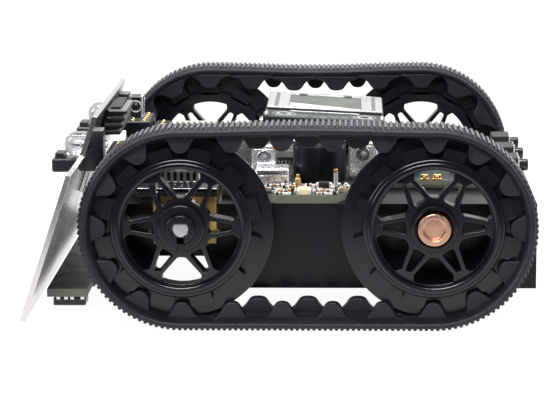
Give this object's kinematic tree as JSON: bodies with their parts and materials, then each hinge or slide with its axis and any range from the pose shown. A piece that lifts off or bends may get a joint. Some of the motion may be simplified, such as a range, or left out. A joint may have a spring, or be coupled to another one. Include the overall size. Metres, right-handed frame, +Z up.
{
  "type": "tracked robot chassis",
  "caption": "Small two-track robot base with scoop blade, paired geared motors, toothed sprockets, control board, display and line sensors.",
  "frame": {"origin": "centre of the footprint, on the ground under the tracks", "axes": "+X forward, towards the scoop blade; +Y to the robot's left; +Z up"},
  "size_m": [0.098, 0.098, 0.0388],
  "materials": {
    "abs_black": "satin moulded ABS",
    "sprocket_black": "semi-gloss moulded ABS",
    "cell_jacket": "printed foil jacket",
    "nickel": "nickel plated",
    "brass_plate": "stamped brass",
    "steel_can": "plated steel",
    "steel_bright": "polished steel",
    "copper_plated": "copper tinted plating",
    "track_rubber": "moulded silicone rubber",
    "circuit_board": "solder mask over glass fibre",
    "board_black": "black solder mask",
    "silver_metal": "tinned sheet steel",
    "display_glass": "display glass",
    "header_black": "moulded header",
    "component_black": "moulded component body",
    "cream_block": "moulded connector",
    "capacitor_tan": "ceramic chip",
    "gold_contact": "gold flash",
    "clear_lens": "clear epoxy",
    "button_black": "moulded plunger",
    "trimmer_blue": "moulded trimmer",
    "stainless": "laser-cut stainless sheet"
  },
  "bodies": {
    "chassis": {"chassis_shell": "abs_black", "battery_cells": "cell_jacket", "battery_contacts": "nickel", "gearbox_left": "brass_plate", "gearbox_right": "brass_plate", "motor_can_left": "steel_can", "motor_can_right": "steel_can", "motor_end_cap_left": "abs_black", "motor_end_cap_right": "abs_black", "motor_clips": "abs_black", "motor_connectors": "cream_block", "idler_bolts": "copper_plated", "idler_washers": "steel_bright", "idler_nuts": "steel_bright", "track_left": "track_rubber", "track_right": "track_rubber", "main_board": "circuit_board", "board_screws": "steel_bright", "display_board": "board_black", "display_bezel": "silver_metal", "display_window": "display_glass", "display_header": "header_black", "buzzer": "component_black", "usb_connector": "silver_metal", "side_sensors": "silver_metal", "pin_headers": "header_black", "driver_chips": "component_black", "chip_capacitors": "capacitor_tan", "chip_resistors": "component_black", "tab_connectors": "gold_contact", "status_lights": "clear_lens", "button_bodies": "component_black", "power_switch_body": "silver_metal", "trimmer_body": "trimmer_blue", "scoop_blade": "stainless", "blade_screws": "steel_bright", "blade_brackets": "silver_metal", "infrared_leds": "clear_lens", "led_holders": "component_black", "blade_blocks": "component_black", "edge_connector": "header_black", "front_receivers": "component_black", "sensor_array_board": "circuit_board", "line_sensors": "component_black", "array_headers": "header_black"},
    "battery_cover": {"battery_cover": "abs_black"},
    "left_drive": {"drive_sprocket_left": "sprocket_black", "output_shaft_left": "steel_bright", "output_gear_left": "brass_plate"},
    "right_drive": {"drive_sprocket_right": "sprocket_black", "output_shaft_right": "steel_bright", "output_gear_right": "brass_plate"},
    "left_idler": {"idler_sprocket_left": "sprocket_black"},
    "right_idler": {"idler_sprocket_right": "sprocket_black"},
    "button_left": {"button_left": "button_black"},
    "button_middle": {"button_middle": "button_black"},
    "button_right": {"button_right": "button_black"},
    "power_slider": {"power_switch_slider": "button_black"},
    "trimmer_rotor": {"trimmer_rotor": "nickel"}
  },
  "joints": [
    {"name": "left_drive_spin", "type": "hinge", "parent": "chassis", "child": "left_drive", "pos_m": [0.01855, 0.0445, 0.0194], "axis": [0, 1, 0], "continuous": true, "deforming": ["track_left"]},
    {"name": "left_idler_spin", "type": "hinge", "parent": "chassis", "child": "left_idler", "pos_m": [-0.02895, 0.0445, 0.0194], "axis": [0, 1, 0], "continuous": true},
    {"name": "right_drive_spin", "type": "hinge", "parent": "chassis", "child": "right_drive", "pos_m": [0.01855, -0.0445, 0.0194], "axis": [0, 1, 0], "continuous": true, "deforming": ["track_right"]},
    {"name": "right_idler_spin", "type": "hinge", "parent": "chassis", "child": "right_idler", "pos_m": [-0.02895, -0.0445, 0.0194], "axis": [0, 1, 0], "continuous": true},
    {"name": "button_left_press", "type": "slide", "parent": "chassis", "child": "button_left", "axis": [1, 0, 0], "range_m": [0, 0.0003], "stiffness_N_per_m": 600, "springref_m": -0.0012},
    {"name": "button_middle_press", "type": "slide", "parent": "chassis", "child": "button_middle", "axis": [1, 0, 0], "range_m": [0, 0.0003], "stiffness_N_per_m": 600, "springref_m": -0.0012},
    {"name": "button_right_press", "type": "slide", "parent": "chassis", "child": "button_right", "axis": [1, 0, 0], "range_m": [0, 0.0003], "stiffness_N_per_m": 600, "springref_m": -0.0012},
    {"name": "power_switch_slide", "type": "slide", "parent": "chassis", "child": "power_slider", "axis": [0, 1, 0], "range_m": [0, 0.0025]},
    {"name": "trimmer_turn", "type": "hinge", "parent": "chassis", "child": "trimmer_rotor", "pos_m": [-0.0255, 0.0067, 0.0255], "axis": [0, 0, 1], "range_deg": [-130, 130]},
    {"name": "battery_cover_release", "type": "slide", "parent": "chassis", "child": "battery_cover", "axis": [0, 0, -1], "range_m": [0, 0.004]}
  ],
  "couplings": [
    {"joint": "left_idler_spin", "follows": "left_drive_spin", "ratio": 1},
    {"joint": "right_idler_spin", "follows": "right_drive_spin", "ratio": 1}
  ]
}
